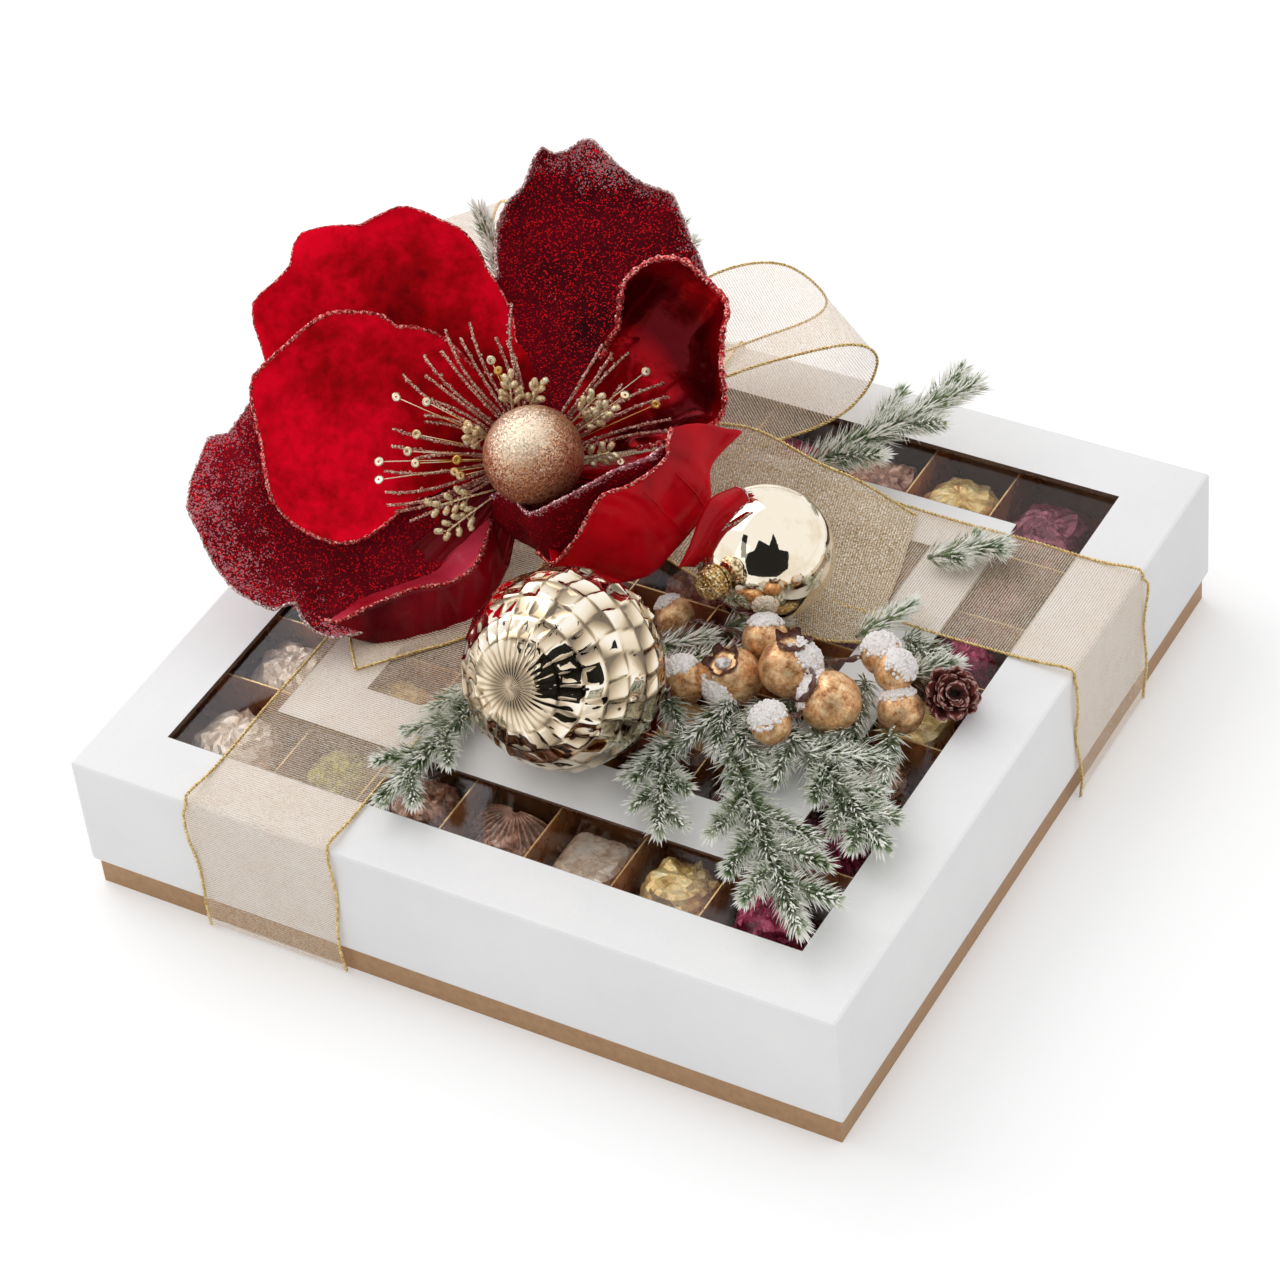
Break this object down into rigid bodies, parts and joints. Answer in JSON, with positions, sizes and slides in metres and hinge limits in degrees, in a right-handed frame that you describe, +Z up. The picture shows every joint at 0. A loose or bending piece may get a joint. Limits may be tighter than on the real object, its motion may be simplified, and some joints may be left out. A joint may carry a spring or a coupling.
{
  "type": "chocolate gift box",
  "caption": "Square window-lid gift box with a gridded tray of wrapped chocolates, a sheer ribbon bow, a large fabric flower, glass balls, berries and frosted sprigs on the lid.",
  "frame": {"origin": "centre of the base tray's underside, which is also the middle of the square box", "axes": "+Z up and the way the lid lifts; -Y is the front side, where the front-to-back ribbon comes down left of the middle; +X is the right side"},
  "size_m": [0.361, 0.3475, 0.1993],
  "materials": {
    "white_paper": "matte white paper wrap",
    "gold_paper": "metallic brown-gold paper wrap",
    "grey_board": "raw board",
    "gold_card": "metallic gold card",
    "clear_film": "clear glossy film",
    "sheer_ribbon": "sheer champagne organza with gold threads",
    "red_velvet": "deep pile velvet",
    "red_satin": "satin with glittered edge",
    "sugared_red": "beaded, frosted velvet",
    "stem_wrap": "green florist's tape",
    "rose_glitter": "rose-gold glitter",
    "champagne_mirror": "silvered champagne glass",
    "gold_metal": "bright stamped",
    "gold_berry": "pearl gold with frost",
    "brown_cone": "frosted scales",
    "frosted_needle": "frosted needles",
    "champagne_foil": "crinkled foil",
    "gold_foil": "crinkled foil",
    "magenta_foil": "crinkled foil",
    "burgundy_foil": "crinkled foil",
    "bronze_foil": "crinkled foil"
  },
  "bodies": {
    "base": {"base_tray": "gold_paper", "chocolate_pad": "grey_board", "card_surround": "gold_card", "divider_across_1": "gold_card", "divider_across_2": "gold_card", "divider_across_3": "gold_card", "divider_across_4": "gold_card", "divider_across_5": "gold_card", "divider_across_6": "gold_card", "divider_along_1": "gold_card", "divider_along_2": "gold_card", "divider_along_3": "gold_card", "divider_along_4": "gold_card", "divider_along_5": "gold_card", "divider_along_6": "gold_card", "chocolate_left_1": "champagne_foil", "chocolate_left_2": "champagne_foil", "chocolate_front_1": "bronze_foil", "chocolate_front_2": "champagne_foil", "chocolate_front_3": "gold_foil", "chocolate_right_1": "magenta_foil", "chocolate_right_2": "burgundy_foil", "chocolate_back_1": "gold_foil"},
    "lid": {"lid_shell": "white_paper", "window_film": "clear_film", "window_frame": "white_paper", "ribbon_side_to_side": "sheer_ribbon", "ribbon_front_to_back": "sheer_ribbon", "bow_knot": "sheer_ribbon", "bow_loop_right": "sheer_ribbon", "bow_loop_back": "sheer_ribbon", "bow_tail_right": "sheer_ribbon", "bow_tail_front": "sheer_ribbon", "petal_top": "red_velvet", "petal_upper_left": "red_velvet", "petal_left": "red_velvet", "petal_low_left": "sugared_red", "petal_under_left": "red_satin", "petal_right": "red_satin", "petal_front": "red_satin", "petal_leaf": "red_satin", "flower_receptacle": "stem_wrap", "flower_ball": "rose_glitter", "stamen_crown": "rose_glitter", "quilted_ball": "champagne_mirror", "mirror_ball": "champagne_mirror", "quilted_ball_cap": "gold_metal", "mirror_ball_cap": "gold_metal", "pine_cone": "brown_cone", "berry_spray_near": "gold_berry", "berry_spray_far": "gold_berry", "sprig_back_right": "frosted_needle", "sprig_on_ribbon": "frosted_needle", "sprig_under_ribbon": "frosted_needle", "sprig_front_near": "frosted_needle", "sprig_front_far": "frosted_needle", "sprig_right": "frosted_needle", "sprig_left": "frosted_needle", "sprig_behind_left": "frosted_needle", "sprig_behind_right": "frosted_needle"}
  },
  "joints": [
    {"name": "lid_lift", "type": "slide", "parent": "base", "child": "lid", "axis": [0, 0, 1], "range_m": [0, 0.08]}
  ]
}
